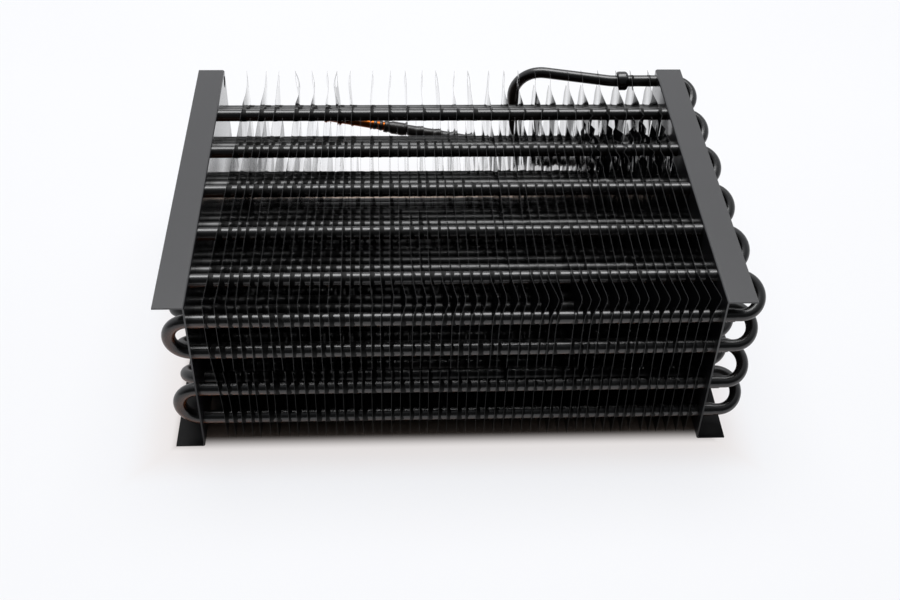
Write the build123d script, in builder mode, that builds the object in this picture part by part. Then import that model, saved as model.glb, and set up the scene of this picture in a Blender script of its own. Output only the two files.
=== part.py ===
from build123d import *
import math
import os

# Evaporator coil: four rows of copper hairpin tubes carry two banks of thin fins between two
# sheet metal end plates. X runs along the tubes, Y from the front to the back, Z up.
# The origin is under the middle of the whole coil, on the surface that it stands on.
# Lengths are in millimetres.

# End plates
plate_gap = 312.0            # between the inner faces of the two end plates
plate_thickness = 1.0
flange_reach = 18.2          # from the inner face to the tip of the flange
plate_bend_radius = 0.6      # inside of the fold

# Tube layout: an equilateral staggered pattern in two banks of two rows
tube_pitch = 25.0
bank_spacing = 19.1          # from the low tubes of the second row down to the raised ones of the third
top_margin = 6.0             # from the top of the plates to the raised tubes of the first row
bottom_margin = 17.4         # from the low tubes of the last row to the bottom of the plates
front_margin = 9.0           # from the front edge of the plates to the first column
back_margin = 5.843          # from the last column to the back edge of the plates
columns = 12
short_fin_columns = 9        # the short fins carry only the front columns

# Tubes
tube_diameter = 8.2
tube_wall = 0.35
return_bend_diameter = 7.4
stub_length = 8.0            # tube ends that stand out of the right plate
socket_depth = 6.0           # how deep a return bend sits in the tube ends
return_bend_straight = 3.9   # between the tube end and the start of the bend
tube_hole_clearance = 0.15   # between a tube and its hole in a plate or a fin

# Fins
fin_thickness = 0.25
fin_count = 51
first_fin_gap = 11.7         # from the left plate to the first fin
last_fin_gap = 7.5           # from the last fin to the right plate
fin_front_margin = 3.5       # from the front edge of the plates to the fins
fin_back_margin = 1.0        # from the fins to the back edge of the plates
short_fin_tail = 9.5         # fin behind the last column of a short fin
upper_fin_skirt = 11.5       # upper fin below the low tubes of the second row
bank_gap = 0.5               # between the upper and the lower fins
fin_foot_gap = 3.0           # from the bottom of the plates to the lower fins

# Pipe connections at the back
coupling_length = 8.5
coupling_diameter = 13.6
coupling_round = 3.0
coupling_clearance = 0.1
pipe_end_gap = 0.3           # between the two pipe ends inside a coupling
line_diameter = 8.0
line_wall = 0.6
line_lead = 8.0              # straight start of a line out of its coupling
line_lead_radius = 20.0
suction_line_back = 11.0     # middle of the suction line behind the plates
suction_line_run = 74.0      # from the coupling to the line's drop, along X
suction_line_low = 41.0      # height of the lower corner of the suction line
suction_drop_lean = 4.5      # top of the drop beyond its foot, along X
suction_line_bend = 23.0
suction_low_bend = 19.0
suction_rise_run = 93.0      # rising stretch behind the coil, along X
suction_rise = 19.2
bell_length = 8.0
bell_diameter = 9.4
tail_diameter = 6.7
tail_wall = 0.6
tail_length = 69.0
inlet_line_run = 80.0
inlet_line_back = 10.0

# Sizes that follow from the ones above
column_pitch = tube_pitch * math.cos(math.radians(30))
bank_drop = 1.5 * tube_pitch + bank_spacing
first_row_drop = top_margin + tube_pitch / 2
row_drops = [
    first_row_drop,
    first_row_drop + tube_pitch,
    first_row_drop + bank_drop,
    first_row_drop + bank_drop + tube_pitch,
]
plate_height = row_drops[-1] + bottom_margin
plate_depth = front_margin + (columns - 1) * column_pitch + back_margin
upper_fin_height = row_drops[1] + upper_fin_skirt
lower_fin_height = plate_height - upper_fin_height - bank_gap - fin_foot_gap
tube_radius = tube_diameter / 2
bend_radius = tube_pitch / 2
rear_span = bank_drop - tube_pitch
rear_bend_radius = rear_span / 2
left_reach = plate_thickness + max(bend_radius, rear_bend_radius) + tube_radius
return_bend_reach = plate_thickness + stub_length + return_bend_straight
right_reach = return_bend_reach + bend_radius + return_bend_diameter / 2
back_reach = suction_line_back + max(line_diameter, bell_diameter) / 2

left_face = -(plate_gap + right_reach - left_reach) / 2
right_face = left_face + plate_gap
front_edge = -(plate_depth + back_reach) / 2
back_edge = front_edge + plate_depth
left_outside = left_face - plate_thickness
tube_end = right_face + plate_thickness + stub_length
hole_radius = tube_radius + tube_hole_clearance
fin_pitch = (plate_gap - first_fin_gap - last_fin_gap) / (fin_count - 1)

# The couplings sit in the gap between the second and the third long fin from the right
coupling_middle = right_face - last_fin_gap - 3 * fin_pitch

os.makedirs("parts", exist_ok=True)


def save(builder, name):
    """Label a finished piece and write it to its own file."""
    builder.part.label = name
    export_step(builder.part, f"parts/{name}.step")


def leg_centre(row, column):
    """Place of a tube in the YZ plane: odd columns sit half a pitch higher."""
    lift = tube_pitch / 2 if column % 2 else 0
    y = front_edge + front_margin + column * column_pitch
    z = plate_height - row_drops[row] + lift
    return y, z


def bend_plane(near, far):
    """Plane through two tubes: its x axis runs along the tubes, its y axis from near to far."""
    across = Vector(0, far[0] - near[0], far[1] - near[1])
    along = Vector(1, 0, 0)
    return Plane(origin=(0, near[0], near[1]), x_dir=along, z_dir=along.cross(across))


def distance(near, far):
    """Distance between two tubes."""
    return math.hypot(far[0] - near[0], far[1] - near[1])


def hairpin(name, near, far):
    """One tube folded into two legs, with its bend outside the left plate."""
    plane = bend_plane(near, far)
    span = distance(near, far)
    with BuildPart() as tube:
        with BuildLine(plane):
            first_leg = Line((tube_end, 0), (left_outside, 0))
            bend = JernArc(first_leg @ 1, first_leg % 1, span / 2, -180)
            Line(bend @ 1, (tube_end, span))
        with BuildSketch(Plane(origin=first_leg @ 0, z_dir=first_leg % 0)):
            Circle(tube_radius)
            Circle(tube_radius - tube_wall, mode=Mode.SUBTRACT)
        sweep()
    save(tube, name)


def return_bend(name, near, far):
    """A short bend that joins two tube ends outside the right plate."""
    plane = bend_plane(near, far)
    span = distance(near, far)
    start = tube_end - socket_depth
    turn = right_face + return_bend_reach
    with BuildPart() as bend_tube:
        with BuildLine(plane):
            first_leg = Line((start, 0), (turn, 0))
            bend = JernArc(first_leg @ 1, first_leg % 1, span / 2, 180)
            Line(bend @ 1, (start, span))
        with BuildSketch(Plane(origin=first_leg @ 0, z_dir=first_leg % 0)):
            Circle(return_bend_diameter / 2)
            Circle(return_bend_diameter / 2 - tube_wall, mode=Mode.SUBTRACT)
        sweep()
    save(bend_tube, name)


# End plates: channels folded from sheet, with both flanges turned outwards
def end_plate(name, inner_face, outward):
    """Channel with its web at inner_face; outward is -1 on the left and 1 on the right."""
    middle = plate_height / 2
    holes = [leg_centre(row, column) for row in range(4) for column in range(columns)]
    with BuildPart() as plate:
        with BuildSketch(Plane.XZ.offset(-front_edge)) as channel:
            with Locations((inner_face + outward * flange_reach / 2, middle)):
                Rectangle(flange_reach, plate_height)
            folds = channel.vertices().group_by(Axis.X)[0 if outward > 0 else -1]
            fillet(folds, plate_bend_radius + plate_thickness)
            with BuildSketch(Plane.XY, mode=Mode.SUBTRACT) as inside:
                inside_width = flange_reach - plate_thickness
                with Locations((inner_face + outward * (flange_reach - inside_width / 2), middle)):
                    Rectangle(inside_width, plate_height - 2 * plate_thickness)
                corners = inside.vertices().group_by(Axis.X)[0 if outward > 0 else -1]
                fillet(corners, plate_bend_radius)
        extrude(amount=-plate_depth)
        with BuildSketch(Plane.YZ.offset(inner_face)):
            with Locations(*holes):
                Circle(hole_radius)
        extrude(amount=outward * (plate_thickness + plate_bend_radius), mode=Mode.SUBTRACT)
    save(plate, name)


end_plate("left_end_plate", left_face, -1)
end_plate("right_end_plate", right_face, 1)


# Fins: thin sheets across the tubes, every second one short
long_back = back_edge - fin_back_margin
short_back = leg_centre(0, short_fin_columns - 1)[0] + short_fin_tail
notch_start = coupling_middle - suction_line_run


def fin_outline(punched, back, top, height, notch):
    """One fin with its tube holes; a notch opens the hole of a pipe to the back edge."""
    front = front_edge + fin_front_margin
    with Locations(((front + back) / 2, top - height / 2)):
        Rectangle(back - front, height)
    with Locations(*punched):
        Circle(hole_radius, mode=Mode.SUBTRACT)
    if notch:
        with Locations(((notch[0] + back) / 2, notch[1])):
            Rectangle(back - notch[0], 2 * hole_radius, mode=Mode.SUBTRACT)


def fin_bank(name, first, used_columns, back, top, height, rows, pipe=None):
    """Every second fin from number first on; those beside a pipe get a notch for it."""
    plain = []
    notched = []
    for number in range(first, fin_count, 2):
        x = left_face + first_fin_gap + number * fin_pitch
        group = notched if pipe and x > notch_start else plain
        group.append(Plane.YZ.offset(x - fin_thickness / 2))
    punched = [leg_centre(row, column) for row in rows for column in range(used_columns)]
    with BuildPart() as bank:
        for group, notch in ((plain, None), (notched, pipe)):
            if group:
                with BuildSketch(*group):
                    fin_outline(punched, back, top, height, notch)
                extrude(amount=fin_thickness, clean=False)
    save(bank, name)


lower_top = plate_height - upper_fin_height - bank_gap
upper = (plate_height, upper_fin_height, (0, 1))
lower = (lower_top, lower_fin_height, (2, 3))
fin_bank("upper_long_fins", 0, columns, long_back, *upper, pipe=leg_centre(0, columns - 1))
fin_bank("upper_short_fins", 1, short_fin_columns, short_back, *upper)
fin_bank("lower_long_fins", 0, columns, long_back, *lower, pipe=leg_centre(3, columns - 1))
fin_bank("lower_short_fins", 1, short_fin_columns, short_back, *lower)

# Hairpins: upright ones join the rows, slanted ones join the columns of one row
last = columns - 1
hairpin("upper_front_hairpin", leg_centre(0, 0), leg_centre(1, 0))
hairpin("lower_front_hairpin", leg_centre(2, 0), leg_centre(3, 0))
hairpin("rear_hairpin", leg_centre(1, last), leg_centre(2, last))
for row in range(4):
    for column in range(1, last, 2):
        number = (column + 1) // 2
        hairpin(f"row_{row + 1}_hairpin_{number}", leg_centre(row, column), leg_centre(row, column + 1))
    for column in range(0, columns, 2):
        number = column // 2 + 1
        return_bend(f"row_{row + 1}_return_bend_{number}", leg_centre(row, column), leg_centre(row, column + 1))


# Pipe connections: the two open ends of the coil, at the back of the top and bottom rows
def stub(name, centre):
    """Straight tube from the last return bend through the right plate to its coupling."""
    with BuildPart() as tube:
        with BuildSketch(Plane.YZ.offset(coupling_middle + pipe_end_gap / 2)):
            with Locations(centre):
                Circle(tube_radius)
                Circle(tube_radius - tube_wall, mode=Mode.SUBTRACT)
        extrude(amount=tube_end - coupling_middle - pipe_end_gap / 2)
    save(tube, name)


def coupling(name, centre):
    """Rounded sleeve over the joint between a stub and its line."""
    bore = tube_radius + coupling_clearance
    wall = coupling_diameter / 2 - bore
    with BuildPart() as sleeve:
        with BuildSketch(Plane.XZ.offset(-centre[0])) as section:
            with Locations((coupling_middle, centre[1] + bore + wall / 2)):
                Rectangle(coupling_length, wall)
            fillet(section.vertices().group_by(Axis.Y)[-1], min(coupling_round, 0.9 * wall))
        revolve(axis=Axis((0, centre[0], centre[1]), (1, 0, 0)))
    save(sleeve, name)


def round_pipe(path, diameter, wall):
    """Sweep the open section of a pipe along a path of lines and arcs."""
    with BuildSketch(Plane(origin=path @ 0, z_dir=path % 0)) as section:
        Circle(diameter / 2)
        Circle(diameter / 2 - wall, mode=Mode.SUBTRACT)
    sweep(sections=section.sketch, path=path)


suction_centre = leg_centre(0, last)
inlet_centre = leg_centre(3, last)
stub("suction_stub", suction_centre)
coupling("suction_coupling", suction_centre)
stub("inlet_stub", inlet_centre)
coupling("inlet_coupling", inlet_centre)

# Suction line: leaves the coupling towards the back, drops behind the coil and rises again
line_start = coupling_middle - pipe_end_gap / 2
suction_y = back_edge + suction_line_back
drop_x = coupling_middle - suction_line_run
rise_end = Vector(drop_x - suction_rise_run, suction_y, suction_line_low + suction_rise)
rise_direction = (rise_end - Vector(drop_x, suction_y, suction_line_low)).normalized()
with BuildPart() as suction_line:
    with BuildLine() as suction_path:
        FilletPolyline(
            (line_start, suction_centre[0], suction_centre[1]),
            (line_start - line_lead, suction_centre[0], suction_centre[1]),
            (drop_x - suction_drop_lean, suction_y, suction_centre[1]),
            (drop_x, suction_y, suction_line_low),
            tuple(rise_end),
            radius=[line_lead_radius, suction_line_bend, suction_low_bend],
        )
    round_pipe(suction_path.wires()[0], line_diameter, line_wall)
    # Bell at the end, where the bare tail goes in
    with BuildSketch(Plane(origin=rise_end, z_dir=rise_direction * -1)):
        Circle(bell_diameter / 2)
        Circle(line_diameter / 2 - line_wall, mode=Mode.SUBTRACT)
    extrude(amount=bell_length)
save(suction_line, "suction_line")

# Bare copper tail of the suction line
with BuildPart() as suction_tail:
    with BuildSketch(Plane(origin=rise_end - rise_direction * bell_length, z_dir=rise_direction)):
        Circle(tail_diameter / 2)
        Circle(tail_diameter / 2 - tail_wall, mode=Mode.SUBTRACT)
    extrude(amount=tail_length + bell_length)
save(suction_tail, "suction_tail")

# Inlet line: leaves its coupling towards the back and ends open behind the coil
inlet_y = back_edge + inlet_line_back
with BuildPart() as inlet_line:
    with BuildLine() as inlet_path:
        FilletPolyline(
            (line_start, inlet_centre[0], inlet_centre[1]),
            (line_start - line_lead, inlet_centre[0], inlet_centre[1]),
            (coupling_middle - inlet_line_run / 2, inlet_y, inlet_centre[1]),
            (coupling_middle - inlet_line_run, inlet_y, inlet_centre[1]),
            radius=[line_lead_radius, line_lead_radius],
        )
    round_pipe(inlet_path.wires()[0], line_diameter, line_wall)
save(inlet_line, "inlet_line")
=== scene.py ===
# %% [markdown]
# # Evaporator coil
# An evaporator coil cools the air that passes between its fins: four rows of tubes run through
# fifty-one upright sheets per bank, and two folded plates hold the ends. The solids come from a
# CAD file, which is loaded here as it is. This notebook adds what a photograph of a real coil
# shows beyond that: fins that sway and lean, torn collars around the tubes, braze, coatings,
# light and view. Blender works in metres. X runs along the tubes, Y to the back and Z up.

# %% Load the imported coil
import bpy
import math
import numpy as np
from mathutils import Matrix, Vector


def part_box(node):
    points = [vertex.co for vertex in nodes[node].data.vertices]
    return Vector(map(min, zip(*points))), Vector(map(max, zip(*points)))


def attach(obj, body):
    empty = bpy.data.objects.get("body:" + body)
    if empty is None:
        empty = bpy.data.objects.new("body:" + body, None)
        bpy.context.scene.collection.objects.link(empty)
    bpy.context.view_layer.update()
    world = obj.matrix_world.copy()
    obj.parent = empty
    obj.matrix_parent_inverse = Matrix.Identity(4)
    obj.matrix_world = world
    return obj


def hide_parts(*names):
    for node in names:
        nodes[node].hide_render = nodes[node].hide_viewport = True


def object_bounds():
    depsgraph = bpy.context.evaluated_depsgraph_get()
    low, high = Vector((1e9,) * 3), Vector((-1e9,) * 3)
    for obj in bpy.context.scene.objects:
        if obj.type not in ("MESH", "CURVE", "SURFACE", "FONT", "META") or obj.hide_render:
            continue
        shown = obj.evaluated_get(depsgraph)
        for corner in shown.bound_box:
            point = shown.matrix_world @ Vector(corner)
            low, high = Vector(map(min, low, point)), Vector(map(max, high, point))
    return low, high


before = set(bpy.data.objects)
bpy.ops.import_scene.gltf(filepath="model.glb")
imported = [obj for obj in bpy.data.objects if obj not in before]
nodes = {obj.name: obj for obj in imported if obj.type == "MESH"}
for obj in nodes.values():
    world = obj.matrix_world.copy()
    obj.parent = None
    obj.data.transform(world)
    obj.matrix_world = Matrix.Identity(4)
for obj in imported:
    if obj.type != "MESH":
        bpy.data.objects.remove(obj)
cad_box = [list(corner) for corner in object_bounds()]
print("CAD nodes:", len(nodes), "box:", cad_box)

# %% [markdown]
# ## Sizes
# On the real coil the tubes stand in a staggered pattern: even columns are low, and odd ones sit
# half a pitch higher, so that air has to wind around them. The sizes could be measured on each
# loaded mesh, but a formula for the tube places is shorter, and everything below is built from
# it. It uses mm, because the CAD was drawn in mm.

# %% Sizes of the tube pattern
MM = 0.001
left_low, left_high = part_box("left_end_plate")
left_face = left_high[0] / MM
right_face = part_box("right_end_plate")[0][0] / MM
front_edge = left_low[1] / MM
back_edge = left_high[1] / MM
height = left_high[2] / MM
pitch = 25.0
column_pitch = pitch * math.cos(math.radians(30))
columns = 12
first_column = front_edge + 9.0
row_drops = [18.5, 43.5, 75.1, 100.1]    # even columns, below the top of the plates
tube_radius = 4.1


def leg_centre(row, column):
    """Place of a tube in mm: y = first column + column pitches, z = top - drop + lift.

    Odd columns are lifted by half a pitch."""
    lift = pitch / 2 if column % 2 else 0.0
    return first_column + column * column_pitch, height - row_drops[row] + lift


last_column = leg_centre(0, columns - 1)[0]
print("columns from y %.1f to %.1f mm" % (first_column, last_column))

# %% Sizes of the fins
fin_count = 51
first_fin = left_face + 11.7
last_fin = right_face - 7.5
fin_pitch = (last_fin - first_fin) / (fin_count - 1)
fin_inset = 3.5                              # from the plates' front edge to the fins'
long_tail = back_edge - 1.0 - last_column    # behind the last tube of a long fin
short_columns, short_tail = 9, 9.5           # a short fin stops three columns earlier
upper_bottom = height - 55.0
lower_top = upper_bottom - 0.5
lower_bottom = lower_top - 59.0
print("plates %.1f to %.1f, fin pitch %.2f mm" % (left_face, right_face, fin_pitch))

# %% [markdown]
# ## Objects from arrays
# Each new shape is computed as one array of points in mm and one array of faces with four
# corners. Blender could be given the points one by one, but whole arrays are shorter to write
# and much faster. A new piece of the coil also rides on its body.

# %% Helpers for objects
def new_object(name, vertices, faces, material):
    """Smooth mesh object from vertices in mm and faces as rows of four corner numbers."""
    mesh = bpy.data.meshes.new(name)
    mesh.from_pydata((vertices * MM).tolist(), [], faces.tolist())
    mesh.polygons.foreach_set("use_smooth", [True] * len(mesh.polygons))
    mesh.materials.append(material)
    piece = bpy.data.objects.new(name, mesh)
    bpy.context.scene.collection.objects.link(piece)
    return piece


def coil_piece(name, vertices, faces, material, slot):
    """Mesh object that belongs to the coil."""
    piece = new_object(name, vertices, faces, material)
    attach(piece, "root")
    return piece


def ring_quads(rings, sides):
    """Quads between rings: point i and i + 1 of ring k, then i + 1 and i of ring k + 1."""
    k, i = np.indices((rings - 1, sides)).reshape(2, -1)
    beside = (i + 1) % sides
    return np.column_stack([k * sides + i, k * sides + beside,
                            (k + 1) * sides + beside, (k + 1) * sides + i])


print("two rings of four points need the quads", ring_quads(2, 4).tolist())

# %% [markdown]
# ## Node helpers
# A material is a small graph of nodes. It could be wired by hand in the shader editor, but a
# function that adds one node and fills its inputs keeps every material down to a few lines.
# Colours are written as sRGB hex codes, as a colour picker shows them, and one function turns
# them into the linear values that the renderer works with.

# %% Helpers for colours and nodes
def linear(code):
    """sRGB hex colour to linear: c / 12.92 when dark, else ((c + 0.055) / 1.055) to the 2.4."""
    parts = [int(code[i:i + 2], 16) / 255 for i in (1, 3, 5)]
    return tuple(c / 12.92 if c <= 0.04045 else ((c + 0.055) / 1.055) ** 2.4
                 for c in parts) + (1.0,)


def add(tree, kind, inputs=None, **settings):
    """Add one node, set its properties, and link each input to a socket or give it a value."""
    node = tree.nodes.new(kind)
    for key, value in settings.items():
        setattr(node, key, value)
    for key, value in (inputs or {}).items():
        if isinstance(value, bpy.types.NodeSocket):
            tree.links.new(value, node.inputs[key])
        else:
            node.inputs[key].default_value = value
    return node


def new_material(name):
    """Material with its node tree, its output node, and the place on the object in metres."""
    material = bpy.data.materials.new(name)
    material.use_nodes = True
    tree = material.node_tree
    tree.nodes.clear()
    out = tree.nodes.new("ShaderNodeOutputMaterial")
    return material, tree, out, add(tree, "ShaderNodeTexCoord").outputs["Object"]


print("black #050505 is linear", [round(c, 5) for c in linear("#050505")[:3]])

# %% The kinds of node that come back often
def noise(tree, place, scale, detail):
    """Cloudy values between 0 and 1, with so many clouds to a metre."""
    return add(tree, "ShaderNodeTexNoise",
               {"Vector": place, "Scale": scale, "Detail": detail}).outputs[0]


def blend(tree, factor, first, second):
    """First colour where the factor is 0, and the second where it is 1."""
    return add(tree, "ShaderNodeMix", {"Factor": factor, "A": first, "B": second},
               data_type="RGBA").outputs[2]


def mapped(tree, value, start, end, low=0.0, high=1.0, **settings):
    """Low where the value is at start, high where it is at end, and a slope between them."""
    return add(tree, "ShaderNodeMapRange", {"Value": value, "From Min": start, "From Max": end,
                                            "To Min": low, "To Max": high}, **settings).outputs[0]


def calculate(tree, operation, *values):
    """Result of one operation on sockets or numbers."""
    return add(tree, "ShaderNodeMath", dict(enumerate(values)), operation=operation).outputs[0]


def axes(tree, vector):
    """The three coordinates of a vector."""
    return add(tree, "ShaderNodeSeparateXYZ", {0: vector}).outputs


print("helpers ready: noise, blend, mapped, calculate, axes")

# %% [markdown]
# ## Black coating
# After brazing, the whole coil was dipped in a black coating against rust. It ran smooth on the
# round tubes, stayed duller on the folded plates, and lies as a thin glossy film on the fins. An
# image texture could carry its stains, but noise in real mm sizes needs no file and fits every
# part. One function makes all the variants: slow noise clouds the colour and the gloss, fine
# noise gives the unevenness, and a clear coat stands for the film that mirrors the light where
# the eye looks along a sheet.

# %% Where the coating changes, in metres unless said
under_facing = (0.35, -0.6)        # upward share of the normal: no brown, most brown
brown_along = (-0.105, -0.15)      # X: least brown, most brown, towards the left plate
brown_least = 0.22
deep_below = (0.107, 0.101)        # Z: top of the bank, inside it
deep_behind = (-0.118, -0.10)      # Y: front tubes, tubes behind them
deep_rough = 0.16                  # what the roughness gains there
lacquer_above = (0.045, 0.072)     # Z: no lacquer, all of it
print("least share of brown on an underside:", brown_least)


# %% One function for all the coatings
def coating(name, dark, light, rough, patch_mm, grain_mm, bump,
            shine=0.5, brown=None, lacquer=None):
    """Dipped coating: cloudy colour and gloss at patch size, fine unevenness at grain size.

    Where it is brown, undersides turn brown, most of all towards the left plate. A
    lacquer is a clear top layer of that roughness, and it fades out low down."""
    material, tree, out, place = new_material(name)
    x, y, z = axes(tree, place)
    cloud = noise(tree, place, 1 / (patch_mm * MM), 3.0)
    colour = blend(tree, cloud, linear(dark), linear(light))
    gloss = mapped(tree, cloud, 0.0, 1.0, *rough)
    if brown:
        facing = axes(tree, add(tree, "ShaderNodeNewGeometry").outputs["Normal"])
        share = calculate(tree, "MULTIPLY", mapped(tree, facing[2], *under_facing),
                          mapped(tree, x, *brown_along, brown_least, 1.0))
        colour = blend(tree, share, colour, linear(brown))
        dull = calculate(tree, "MULTIPLY", mapped(tree, z, *deep_below),
                         mapped(tree, y, *deep_behind, 0.0, deep_rough))
        gloss = calculate(tree, "ADD", gloss, dull)
    surface = add(tree, "ShaderNodeBsdfPrincipled",
                  {"Specular IOR Level": shine, "Base Color": colour, "Roughness": gloss})
    if lacquer:
        tree.links.new(mapped(tree, z, *lacquer_above), surface.inputs["Coat Weight"])
        surface.inputs["Coat Roughness"].default_value = lacquer
    if bump:
        grain = noise(tree, place, 1 / (grain_mm * MM), 2.0)
        relief = add(tree, "ShaderNodeBump",
                     {"Strength": bump, "Distance": 0.1 * MM, "Height": grain})
        tree.links.new(relief.outputs[0], surface.inputs["Normal"])
    tree.links.new(surface.outputs[0], out.inputs[0])
    return material


print("the lacquer starts %.0f mm above the table" % (lacquer_above[0] / MM))

# %% [markdown]
# ## The coatings of this coil
# It was all one bath, so every black lies within a few steps of the others, and it is mostly the
# gloss that tells tube, plate and fin apart. One material for all would be simpler, but then a
# folded plate would shine like a tube. Each takes the dark and the light end of its clouds.

# %% Make the coatings
# Dipped copper tube: smooth and glossy, brown on its undersides and most of all near the left
# plate
tube_black = coating("gloss_black_coated_tube", "#050505", "#0b0a09", (0.20, 0.30),
                     patch_mm=14, grain_mm=2.5, bump=0.05, shine=0.7, brown="#6b3a1c")
# The same tube deep inside the bank, rougher and with less shine: a painted shade for the light
# the fins hold back
shaded_inner_black = coating("dull_black_inner_tube_painted_shade", "#050505", "#0a0a09", (0.38, 0.5),
                      patch_mm=14, grain_mm=2.5, bump=0.05, shine=0.35)
# Folded steel sheet: a satin grey-black that goes pale where it is seen along its face
plate_black = coating("satin_black_coated_plate", "#131315", "#1b1b1e", (0.38, 0.46),
                      patch_mm=22, grain_mm=0.8, bump=0.04, shine=0.3, lacquer=0.12)
# Thin aluminium sheet under a film: black from the front, white along its face
fin_black = coating("black_coated_fin", "#060607", "#0d0d0f", (0.10, 0.20),
                    patch_mm=9, grain_mm=1.5, bump=0.0, shine=0.5, lacquer=0.03)
# Lower flange of the plate, nearly pure black: a painted shade under the upper flange
shaded_foot_black = coating("dark_black_foot_painted_shade", "#040405", "#0a0a0b", (0.38, 0.46),
                     patch_mm=22, grain_mm=0.8, bump=0.04, shine=0.1)
# Torn neck of a fin: broken edges that scatter the light
collar_black = coating("dull_black_torn_collar", "#060606", "#0e0d0c", (0.5, 0.75),
                       patch_mm=3, grain_mm=0.5, bump=0.4, shine=0.2)
# Lumps of braze under the coating: glossy on top, rough in the hollows
braze_black = coating("coated_braze", "#0d0c0b", "#1d1a17", (0.2, 0.45),
                      patch_mm=4, grain_mm=0.9, bump=0.5)
print("coatings:", [m.name for m in bpy.data.materials])

# %% [markdown]
# ## Bare copper
# The pipe end that was cut off stayed uncoated. Drawn copper is bright where it was rubbed and
# brown where it has tarnished, and drawing left fine scratches along the pipe. The scratches
# could be modelled, but at this size a bump from noise that is stretched along X is enough.

# %% Copper
stains_per_metre = 160.0
scratches_per_metre = (150.0, 2500.0, 2500.0)    # few along the pipe, many across it


def bare_copper(name):
    """Bare copper pipe: brown stains over bright copper, with fine scratches along X."""
    material, tree, out, place = new_material(name)
    stain = noise(tree, place, stains_per_metre, 5.0)
    stretched = add(tree, "ShaderNodeMapping", {"Scale": scratches_per_metre, "Vector": place})
    scratch = noise(tree, stretched.outputs[0], 1.0, 2.0)
    relief = add(tree, "ShaderNodeBump",
                 {"Strength": 0.15, "Distance": 0.05 * MM, "Height": scratch})
    surface = add(tree, "ShaderNodeBsdfPrincipled",
                  {"Metallic": 1.0, "Roughness": mapped(tree, stain, 0.0, 1.0, 0.18, 0.42),
                   "Base Color": blend(tree, stain, linear("#b5611f"), linear("#5c2c10")),
                   "Normal": relief.outputs[0]})
    tree.links.new(surface.outputs[0], out.inputs[0])
    return material


# Drawn copper: the only warm, bright metal, mirroring in streaks between brown clouds
copper = bare_copper("bare_copper")
print("metal:", copper.name)

# %% [markdown]
# ## Which part gets which material
# The CAD parts are named after what they are, so the name can decide. The materials could be
# assigned one by one, but a rule by name still holds when a part is added.

# %% Give the parts their materials
for name, node in nodes.items():
    inner = name.startswith(("row_2_hairpin", "row_3_hairpin"))
    chosen = shaded_inner_black if inner else tube_black
    if name.endswith("_plate"):
        chosen = plate_black
    if name.endswith("_fins"):
        chosen = fin_black
    if name == "suction_tail":
        chosen = copper
    node.data.materials.clear()
    node.data.materials.append(chosen)
print("materials:", [m.name for m in bpy.data.materials])

# %% [markdown]
# ## The feet of the plates
# Each plate stands on its lower flange, which is painted darker for the shade under the upper
# flange. The plate could be cut in two objects, but a second material on some faces leaves it
# whole.

# %% A second material on the feet
foot_height = 16.0
foot_start = 2.0       # how far outside the plate's inner face the flange begins
for name, sheet_side, sign in (("left_end_plate", left_face, -1),
                               ("right_end_plate", right_face, 1)):
    plate = nodes[name].data
    plate.materials.append(shaded_foot_black)
    spots = np.array([polygon.center[:] for polygon in plate.polygons]) / MM
    foot = (spots[:, 2] < foot_height) & ((spots[:, 0] - sheet_side) * sign > foot_start)
    plate.polygons.foreach_set("material_index", foot.astype(int))
    print(name, "foot faces:", int(foot.sum()))

# %% [markdown]
# ## Flat pattern of a fin
# A real fin is a punched aluminium sheet with a hole for every tube. A plane with holes cut by a
# boolean would give long thin faces that bend badly. Here the sheet is put together from cells
# instead, one around each tube: a rectangle outside and a ring of points inside at the same
# angles, joined by quads. The cells share their borders, so they weld to one sheet that bends
# smoothly, and a fin needs only a few dozen faces per tube.

# %% Flat pattern of one fin
hole_radius = tube_radius + 0.3
NEAR = 1e-6            # two heights this close are the same
border_play = 0.1      # a side of the outline this close to the back edge lies on it


def cell(centre, ys, zs):
    """Points around a rectangle, and centre + radius (cos a, sin a) at the angle a of each."""
    rim = [(y, zs[0]) for y in ys[:-1]] + [(ys[-1], z) for z in zs[:-1]]
    rim += [(y, zs[-1]) for y in ys[:0:-1]] + [(ys[0], z) for z in zs[:0:-1]]
    rim = np.array(rim)
    arm = rim - centre
    angle = np.arctan2(arm[:, 1], arm[:, 0])
    return rim, centre + hole_radius * np.stack([np.cos(angle), np.sin(angle)], 1)


def fin_pattern(rows, bottom, top, used, tail, notch_row=None):
    """Points (y, z), quads and hole centres of a fin that carries the used first columns.

    In the notch row, the last hole is open to the back edge, for a pipe."""
    points, quads, centres, count = [], [], [], 0
    high, low = [leg_centre(row, 0)[1] for row in rows]
    step = pitch / 4
    levels = sorted({bottom, (bottom + low) / 2, low, low + step, low + 2 * step, low + 3 * step,
                     high, high + step, high + 2 * step, (high + 2 * step + top) / 2, top})
    for column in range(used):
        y = leg_centre(0, column)[0]
        before = y - column_pitch / 2 if column else front_edge + fin_inset
        after = y + column_pitch / 2 if column < used - 1 else y + tail
        ys = [before, (before + y) / 2, y, (y + after) / 2, after]
        split = high if column % 2 else low + 2 * step
        for row in rows:
            centre = np.array(leg_centre(row, column))
            zs = [z for z in levels
                  if (z >= split - NEAR if row == rows[0] else z <= split + NEAR)]
            rim, hole = cell(centre, ys, zs)
            ring = ring_quads(2, len(rim)) + count
            if row == notch_row and column == used - 1:
                side_front = np.minimum(rim[:, 0], np.roll(rim[:, 0], -1))
                ring = ring[side_front <= y + tail - border_play]
            quads.append(ring)
            points += [rim, hole]
            centres.append(centre)
            count += 2 * len(rim)
    places, welded = np.unique(np.round(np.concatenate(points), 3), axis=0, return_inverse=True)
    return places, welded.reshape(-1)[np.concatenate(quads)], np.array(centres)


flat = fin_pattern((0, 1), upper_bottom, height, columns, long_tail)
print("one long fin: %d points, %d quads, %d holes" % (len(flat[0]), len(flat[1]), len(flat[2])))

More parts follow.
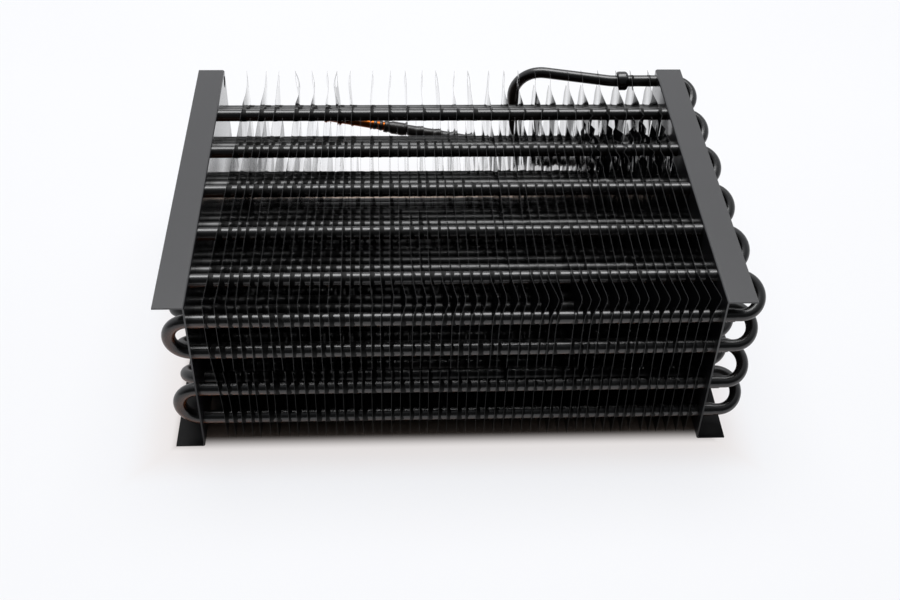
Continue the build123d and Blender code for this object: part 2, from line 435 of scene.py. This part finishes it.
# %% [markdown]
# ## How a fin is bent
# Fins are about as thick as foil, and handling bends them: they sway between the tubes, their
# front edges lean, the free ends at the back are knocked out of line, and near the right plate
# a patch is crushed. It could be simulated as cloth, but the photograph fixes where each free
# end stands, so the bend is a formula: a sideways shift at every place of the sheet, added up
# from waves and smooth steps. Each fin has its own seeded random numbers, so it is always the
# same.

# %% Sway of a whole fin, in mm
TURN = 6.28                              # one full turn, close enough for a wave
fin_seed, lower_seed = 1000, 1100        # random numbers of the first fin in each bank
aside_spread, turned_spread = 0.22, 0.5  # of a whole fin, and over its depth
bank_depth = 250
wave_spread = 0.14
waves_y, waves_z = (70, 240), (70, 160)  # shortest and longest wave
edge_spread, edge_fade = 0.35, 6.0       # front and upper edge
low_spread, low_fade = 0.45, 5.0         # lower edge of the lower bank


def ramp(value, start, end):
    """0 before start, 1 after end, and 3 t^2 - 2 t^3 between them."""
    t = np.clip((value - start) / (end - start), 0, 1)
    return t * t * (3 - 2 * t)


def sway(local, y, z, top, bottom, upper):
    """A lean, plus three waves sin(y) cos(z), plus edges that fade as exp(-distance / fade)."""
    shift = (local.normal(0, aside_spread)
             + local.normal(0, turned_spread) * (y - front_edge) / bank_depth)
    for _ in range(3):
        wave_y, wave_z = local.uniform(*waves_y), local.uniform(*waves_z)
        swing = local.normal(0, wave_spread)
        phase_y, phase_z = local.uniform(0, TURN), local.uniform(0, TURN)
        wave = swing * np.sin(y / wave_y * TURN + phase_y) * np.cos(z / wave_z * TURN + phase_z)
        shift = shift + wave
    depth = y - front_edge - fin_inset
    shift = shift + local.normal(0, edge_spread) * np.exp(-depth / edge_fade)
    shift = shift + local.normal(0, edge_spread) * np.exp(-(top - z) / edge_fade)
    lower_edge = local.normal(0, low_spread) * np.exp(-(z - bottom) / low_fade)
    return shift if upper else shift + lower_edge


swayed = sway(np.random.default_rng(fin_seed), last_column, height, height, upper_bottom, True)
print("the first fin sways %.2f mm at its upper back corner" % swayed)

# %% Bends at the back of the upper bank, in mm
# Long fins from the left: sideways place, and the bulge and lean of the free end
back_place = [5.2, 6.0, 3.2, 6.4, 5.2, 3.0, 0.6, -1.8, -0.8, -0.4, 0.4, 1.2, 0.4, 0.0]
back_bulge = [1.4, 1.2, 0.0, 2.6, 2.0, 1.4, -3.2, -2.0, 0.3, 0.0, 0.4, -0.6, 0.5, -0.8, 0.6, 0.4]
back_lean = [-0.4, 1.2, 0.2, -2.2, -0.6, -0.4, -1.6, -1.4,
             1.6, 1.6, -0.6, 1.0, -1.4, 0.8, -1.6, 1.4]
free_start, free_length = 37, 41.0       # the free end, from in front of the last column
crush_size, petal_size = 1.9, 0.8
crush_wave = (15.0, 14.0)                # along Y and Z
first_crushed, first_petal = 40, 24      # petals are curved patches between the tubes
# Start and end of the smooth steps, along Y
moved_in = (last_column - 235, last_column - 25)
crush_in = (last_column - 125, last_column - 95)
crush_out = (last_column - 50, last_column - 38)
petal_in = (last_column - 95, last_column - 80)
petal_up = (82, 96)                      # along Z


def back_bends(shift, number, y, z, top, bottom):
    """The shift, plus place, bulge sin(pi f) + lean f^2 of the free end, crush and petals."""
    behind = y - last_column
    moved = float(np.interp(number / 2, np.arange(len(back_place)), back_place))
    shift = shift + moved * ramp(y, *moved_in)
    index = number // 2
    if number % 2 == 0 and index < len(back_lean):
        free = np.clip((behind + free_start) / free_length, 0, 1)
        bent = back_bulge[index] * np.sin(math.pi * free) + back_lean[index] * free ** 2
        shift = shift + bent * ramp(z, top - 36, top - 6)
    if number >= first_crushed:
        crush = ramp(y, *crush_in) * (1 - ramp(y, *crush_out))
        crush = crush * ramp(z, bottom + 18, bottom + 30) * min(1.0, (number - 38) / 4)
        shift = shift + (crush_size * crush * np.sin(y / crush_wave[0] * TURN + 2.0 * number)
                         * np.cos(z / crush_wave[1] * TURN + number))
    if number >= first_petal:
        petal = ramp(y, *petal_in) * min(1.0, (number - 22) / 10)
        shift = shift + (petal_size * petal * np.cos(behind / (2 * column_pitch) * TURN)
                         * ramp(z, *petal_up))
    return shift


free_corner = back_bends(0.0, 0, last_column + 8.0, height - 2.0, height, upper_bottom)
print("free end of the first long fin stands %.1f mm aside" % free_corner)

# %% The whole bend of a fin
front_bow = {0: 2.4, 1: 1.6}                            # the two fins beside the left plate
pushed_apart = {34: -1.2, 35: -2.2, 36: 2.2, 37: 1.1}   # a gap opened in the front
apart_until = (front_edge + 10, front_edge + 60)        # and closes again between these
corner_curl, curl_spread = 3.2, 0.5                     # upper front corners, to the right
first_curled, last_curling = 12, 22                     # no curl before, full curl after


def bend(number, y, z, top, bottom, upper):
    """Sideways shift of a fin in mm at (y, z): its sway, and the bends of back and front."""
    local = np.random.default_rng((fin_seed if upper else lower_seed) + number)
    shift = sway(local, y, z, top, bottom, upper)
    if upper:
        shift = back_bends(shift, number, y, z, top, bottom)
    depth = y - front_edge - fin_inset
    if number in front_bow:
        shift = shift + front_bow[number] * np.exp(-depth / 22.0) * np.sin(z / 26.0 + 1.0)
    if upper and number in pushed_apart:
        shift = shift + pushed_apart[number] * (1 - ramp(y, *apart_until))
    if upper:
        corner = np.exp(-(depth / 15.0) ** 2) * np.exp(-((top - z) / 10.0) ** 2)
        curl = corner_curl + local.normal(0, curl_spread)
        shift = shift + curl * ramp(number, first_curled, last_curling) * corner
    return shift


upper_corner = bend(fin_count - 1, front_edge + fin_inset, height, height, upper_bottom, True)
print("the last fin's upper front corner is bent %.1f mm to the right" % upper_corner)

# %% [markdown]
# ## Collars
# Where a tube was driven through, the sheet tore into a ragged collar that stands along the
# tube. Collars could be copies of one mesh, but copies look alike, and in the photograph no two
# are, so each gets its own ragged lip.

# %% One collar
collar_turn = np.linspace(0, 2 * math.pi, 14, endpoint=False)
collar_radii = tube_radius + np.array([[0.34], [0.20], [0.13]])    # fin, neck, lip
neck_depth = 0.35


def collar(x, centre, local):
    """Torn neck around a tube: three rings of radius r(k) at depth d(k), the last one ragged."""
    lip = np.clip(local.uniform(1.5, 3.0) + 0.4 * local.standard_normal(len(collar_turn)),
                  0.9, 3.4)
    depth = np.array([np.zeros(len(lip)), np.full(len(lip), neck_depth), lip])
    return np.stack([x + depth, centre[0] + collar_radii * np.cos(collar_turn),
                     centre[1] + collar_radii * np.sin(collar_turn)], axis=2).reshape(-1, 3)


collar_quads = ring_quads(len(collar_radii), len(collar_turn))
print("one collar has", len(collar_quads), "quads")

# %% [markdown]
# ## A bank of fins
# A sheet without thickness would show no edge, so each fin gets two faces and a rim around its
# outline and its holes. A modifier could add them, but two shifted copies of the same points
# are as short, and a rim with points of its own keeps its edge sharp in smooth shading. All fins
# of one CAD part become one mesh that takes the place of the CAD part.

# %% One sheet with two faces
sheet = 0.11


def open_edges(quads):
    """Directed edges that only one quad uses: the outline and the holes of a sheet."""
    edges = np.stack([quads, np.roll(quads, -1, axis=1)], axis=2).reshape(-1, 2)
    size = edges.max() + 1
    paired = np.isin(edges @ (size, 1), edges @ (1, size))
    return np.unique(edges[~paired], axis=0)


def thick_sheet(middle, places, quads):
    """Points and quads of two faces half a sheet off the middle, and of the rim between them."""
    start, end = open_edges(quads).T
    front = np.column_stack([middle + sheet / 2, places])
    back = np.column_stack([middle - sheet / 2, places])
    rim = np.concatenate([front[start], back[start], back[end], front[end]])
    rim_quads = np.arange(len(rim)).reshape(4, -1).T + 2 * len(places)
    return (np.concatenate([front, back, rim]),
            np.concatenate([quads, quads[:, ::-1] + len(places), rim_quads]))


def joined(pieces):
    """Points and quads of all pieces as one, with each piece's corner numbers moved on."""
    points, quads = zip(*pieces)
    starts = np.cumsum([0] + [len(p) for p in points[:-1]])
    return np.concatenate(points), np.concatenate([q + s for q, s in zip(quads, starts)])


print("a long fin has", len(open_edges(flat[1])), "open edges")

# %% All fins of one CAD part
# Height of the one tube of the last column that runs through each bank, by its first row
rear_tubes = {0: leg_centre(1, columns - 1)[1], 2: leg_centre(2, columns - 1)[1]}
coupling_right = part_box("suction_coupling")[1][0] / MM
notches_from = right_face - 98           # fins right of this have a notch for the pipe
collar_seed = 5000


def fin_bank(name, numbers, rows, bottom, top, used, tail, pipe_row=None):
    """A mesh of sheets with two faces and rims for one CAD node, and a mesh of their collars."""
    upper = rows[0] == 0
    fins, collars = [], []
    for number in numbers:
        x = first_fin + number * fin_pitch
        notch = pipe_row if x > notches_from else None
        places, quads, centres = fin_pattern(rows, bottom, top, used, tail, notch)
        middle = x + bend(number, *places.T, top, bottom, upper)
        fins.append(thick_sheet(middle, places, quads))
        local = np.random.default_rng(collar_seed + number)
        necks = x + bend(number, *centres.T, top, bottom, upper)
        for centre, at in zip(centres, necks):
            unused = centre[0] > last_column - 1 and centre[1] != rear_tubes[rows[0]]
            if not unused or x >= coupling_right:
                collars.append((collar(at, centre, local), collar_quads))
    points, quads = joined(fins)
    sheets = coil_piece(name + "_sheets", points, quads, fin_black, "fin")
    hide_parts(name)
    coil_piece(name + "_collars", *joined(collars), collar_black, "fin")
    print(name, "fins:", len(numbers), "quads:", len(quads), "collars:", len(collars))


print("fins are notched from x %.1f mm to the right plate" % notches_from)

# %% [markdown]
# ## Both banks
# The coil has two banks of fins, one above the other, and every second fin is shorter and stops
# three columns before the back. A modifier could repeat one fin, but then all would bend the
# same way, so each is built on its own from the same few sizes.

# %% Build both banks
long_numbers = range(0, fin_count, 2)
short_numbers = range(1, fin_count, 2)
fin_bank("upper_long_fins", long_numbers, (0, 1), upper_bottom, height,
         columns, long_tail, 0)
fin_bank("upper_short_fins", short_numbers, (0, 1), upper_bottom, height,
         short_columns, short_tail)
fin_bank("lower_long_fins", long_numbers, (2, 3), lower_bottom, lower_top,
         columns, long_tail, 3)
fin_bank("lower_short_fins", short_numbers, (2, 3), lower_bottom, lower_top,
         short_columns, short_tail)

# %% [markdown]
# ## Pipe ends
# On the real coil the coating runs over the end of the suction line in lumps and stops at a
# bead, and the bare copper tail beyond it carries two dark rings of braze. They could be
# sculpted, but all are round about the pipe, so a profile of distance and radius is turned
# around its axis, with a slight swell that makes the lumps uneven.

# %% Turn a profile around the suction line
coupling_middle = sum(corner[0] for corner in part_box("suction_coupling")) / 2 / MM
line_run = 74.0                          # from the coupling to where the line drops, along X
rise_run, rise = 93.0, 19.2              # of the last stretch, to the left and up
line_back = 11.0                         # behind the plates
end_height = 60.2
line_end = np.array([coupling_middle - line_run - rise_run, back_edge + line_back, end_height])
swell_seed = 77


def turned(name, profile, lump, sides=28):
    """Body of revolution in mm: at distance t past the line's end it has the radius r.

    The radius swells by 1 + lump sin(2 a) around the pipe, but not past the back of the CAD."""
    axis = np.array((-rise_run, 0.0, rise)) / np.linalg.norm((-rise_run, 0.0, rise))
    side = np.cross(axis, (0.0, 1.0, 0.0))
    side /= np.linalg.norm(side)
    up = np.cross(axis, side)
    local = np.random.default_rng(swell_seed)
    turn = np.linspace(0, 2 * math.pi, sides, endpoint=False)
    rings = []
    for t, r in profile:
        wave = np.sin(2 * turn + 0.8 * t + local.uniform(-0.4, 0.4))
        swell = 1 + lump * wave * local.uniform(0.4, 1.0)
        rings.append(line_end + t * axis + (r * swell * np.cos(turn))[:, None] * side
                     + (r * swell * np.sin(turn))[:, None] * up)
    points = np.concatenate(rings)
    points[:, 1] = np.minimum(points[:, 1], cad_box[1][1] / MM)
    outwards = ring_quads(len(profile), sides)[:, [0, 3, 2, 1]]
    return coil_piece(name, points, outwards, braze_black, "tube")


print("the suction line ends at", [round(float(c), 1) for c in line_end])

# %% Coating end and braze beads, in mm
end_bead = [(6.4, 3.36), (6.4, 4.2), (6.1, 4.55), (3.6, 4.58), (3.2, 4.25)]
coat_radius, bell_rise = 4.12, 0.72
lump_shapes = ((-20.6, 1.5, 0.50), (-33.6, 1.4, 0.45))    # place, width and height
t = np.arange(2.6, -38.5, -0.7)
lumps = sum(rise_of * np.exp(-((t - place) / width) ** 2) for place, width, rise_of in lump_shapes)
over_bell = bell_rise * ramp(t, -11.0, -8.4) * (1 - ramp(t, 0.2, 1.6))
coat_end = np.concatenate([end_bead, np.column_stack([t, coat_radius + lumps + over_bell]),
                           [(-38.6, 3.95)]])
turned("suction_line_coating_end", coat_end, 0.02)
tail_radius = 3.3
bead_half, bead_rise = 1.3, 0.42
half_turn = np.linspace(0, math.pi, 7)
for number, middle in enumerate((8.8, 13.4)):
    bead = np.column_stack([middle + bead_half * np.cos(half_turn),
                            tail_radius + bead_rise * np.sin(half_turn)])
    turned("braze_bead_" + str(number + 1), bead, 0.03)
print("coating end: %d rings over %.0f mm of pipe"
      % (len(coat_end), coat_end[0][0] - coat_end[-1][0]))

# %% [markdown]
# ## Floor and backdrop
# The photograph was taken on a white table that runs into a white backdrop. A lamp on the
# backdrop would also light the coil, so the brightness of the table is only shown to the camera
# and to mirror and glass rays: a Light Path node mixes that look with a plain matt white, which
# all other rays meet. Under the coil the table has a painted shade, darker and brownish, which
# stands for the light that gets there only after it has bounced between the parts.

# %% Material of the table, in metres
footprint = ((0.0085, 0.1635), (0.0, 0.128))    # X and Y: shift, and half the coil's size
painted_shadow_edge = (-0.002, 0.011)       # outside the footprint: in the coil's painted shadow, clear of it
painted_shade_depth = (-0.018, -0.008)       # painted shade under the coil: darkest, and warm
painted_shadow_fade = (0.006, 0.040)          # painted shadow fading out: warm and dimmer, then cool and bright
# Emission next to the coil and far away: the lower value near the coil paints a soft shadow
table_glow_and_painted_shadow = (0.765, 0.84)


def white_table(name):
    """Matt white with a painted shade under the coil, by the distance max(|x| - half, |y| - half).
    """
    material, tree, out, place = new_material(name)
    paper = blend(tree, noise(tree, place, 6.0, 1.0), linear("#585757"), linear("#5c5c5c"))
    beyond = []
    for coordinate, (shift, half) in zip(axes(tree, place), footprint):
        centred = calculate(tree, "ADD", coordinate, shift)
        beyond.append(calculate(tree, "SUBTRACT", calculate(tree, "ABSOLUTE", centred), half))
    away = calculate(tree, "MAXIMUM", *beyond)
    # Masks of the painted shadow: clear is 0 in the coil's shade, far grows away from the coil
    clear = mapped(tree, away, *painted_shadow_edge, interpolation_type="SMOOTHSTEP")
    far = mapped(tree, away, *painted_shadow_fade, interpolation_type="SMOOTHSTEP")
    painted_shade = blend(tree, mapped(tree, away, *painted_shade_depth), linear("#1c1917"), linear("#a39184"))
    painted_shadow_glow = calculate(tree, "MULTIPLY", mapped(tree, far, 0.0, 1.0, *table_glow_and_painted_shadow), clear)
    # Base colour and emission both carry the painted shade; the emission is warmer and dimmer near
    # the coil as part of it
    shown = add(tree, "ShaderNodeBsdfPrincipled",
                {"Roughness": 0.7, "Base Color": blend(tree, clear, painted_shade, paper),
                 "Emission Color": blend(tree, far, linear("#fdf8f7"), linear("#f9fafd")),
                 "Emission Strength": painted_shadow_glow})
    plain = add(tree, "ShaderNodeBsdfDiffuse", {"Color": linear("#e4e3e2")})
    ray = add(tree, "ShaderNodeLightPath").outputs
    camera_ray = ray["Is Camera Ray"]
    mirror = calculate(tree, "MAXIMUM", camera_ray, ray["Is Glossy Ray"])
    glass = calculate(tree, "MAXIMUM", camera_ray, ray["Is Transmission Ray"])
    seen = calculate(tree, "MAXIMUM", mirror, glass)
    surface = add(tree, "ShaderNodeMixShader",
                  {0: seen, 1: plain.outputs[0], 2: shown.outputs[0]})
    tree.links.new(surface.outputs[0], out.inputs[0])
    return material


# Matt table top: white far away, with a painted soft shade of the coil around its feet
table = white_table("white_table")
print("table material:", table.name)

# %% Table and backdrop, in mm
# Profile y, z: a flat to y 1400, a quarter arc of radius 600, and a wall; wider in front
arc = np.linspace(0, math.pi / 2, 16)
profile = np.concatenate([[(-8000.0, 0.0)],
                          np.column_stack([1400 + 600 * np.sin(arc), 600 - 600 * np.cos(arc)]),
                          [(2000.0, 3000.0)]])
floor_drop = 0.05                        # keeps the table just clear of the feet
half_width = np.where(profile[:, 0] < 0, 8000.0, 3000.0)
sides = [np.column_stack([sign * half_width, profile - (0, floor_drop)]) for sign in (-1, 1)]
corner = 2 * np.arange(len(profile) - 1)[:, None]
piece = new_object("floor", np.stack(sides, axis=1).reshape(-1, 3), corner + (0, 1, 3, 2), table)
print("floor:", len(piece.data.polygons), "faces")

# %% [markdown]
# ## Light
# One large soft box stands above and behind the coil, as in a product studio: it draws the
# pale line along the top of each tube. Several small lamps would draw several lines. The world
# gives the rest, brighter from behind than from the front, which darkens the front of the coil
# as the photograph shows.

# %% Soft box
def area_light(name, place, target, size, power):
    """Rectangular soft light at place that faces target, both in metres."""
    lamp = bpy.data.lights.new(name, "AREA")
    lamp.shape = "RECTANGLE"
    lamp.size, lamp.size_y = size
    lamp.energy = power
    thing = bpy.data.objects.new(name, lamp)
    away = np.array(place) - np.array(target)
    away /= np.linalg.norm(away)
    side = np.cross((0.0, 1.0, 0.0), away)
    side /= np.linalg.norm(side)
    turn = Matrix(np.column_stack([side, np.cross(away, side), away]).tolist()).to_4x4()
    thing.matrix_world = Matrix.Translation(place) @ turn
    bpy.context.scene.collection.objects.link(thing)
    return thing


softbox = area_light("softbox_above", place=(0.0, 0.48, 1.38), target=(0.0, 0.0, 0.08),
                     size=(1.25, 0.85), power=22.0)
print("lamp:", softbox.location[:])

# %% World
world_facing = (-0.6, 0.25)        # Y of the direction: darkest, brightest
world_light = (0.09, 0.95)
backdrop = 0.955                   # the least that the camera sees
world = bpy.data.worlds.new("studio")
bpy.context.scene.world = world
world.use_nodes = True
sky = world.node_tree
heading = axes(sky, add(sky, "ShaderNodeTexCoord").outputs["Generated"])
level = mapped(sky, heading[1], *world_facing, *world_light)
camera_ray = add(sky, "ShaderNodeLightPath").outputs["Is Camera Ray"]
level = calculate(sky, "MAXIMUM", level, calculate(sky, "MULTIPLY", camera_ray, backdrop))
sky.nodes["Background"].inputs[0].default_value = linear("#eef1f6")
sky.links.new(level, sky.nodes["Background"].inputs[1])
bpy.context.scene.view_settings.view_transform = "Standard"
print("world light from the front and from behind:", world_light)

# %% [markdown]
# ## Camera
# The camera could be placed by eye, but here it was solved from points of the photograph whose
# places on the coil are known: its axes are written as unit vectors, right, down and ahead.

# %% Camera
camera_place = (-0.043487, -0.65688, 0.594127)
right = np.array([0.998761, -0.043061, 0.024933])
down = np.array([-0.010374, -0.670268, -0.742047])
ahead = np.array([0.048665, 0.740869, -0.669884])
lens = bpy.data.cameras.new("camera")
lens.sensor_width = 36.0
lens.lens = 49.54
lens.clip_start = 0.05
camera = bpy.data.objects.new("camera", lens)
turn = Matrix(np.column_stack([right, -down, -ahead]).tolist()).to_4x4()
camera.matrix_world = Matrix.Translation(camera_place) @ turn
bpy.context.scene.collection.objects.link(camera)
bpy.context.scene.camera = camera
print("camera at", [round(c, 3) for c in camera.matrix_world.translation], "lens", lens.lens)

# %% [markdown]
# ## Finish
# At the end the view layer is brought up to date. The looks must not make the coil larger than
# it is.

# %% Finish
bpy.context.view_layer.update()
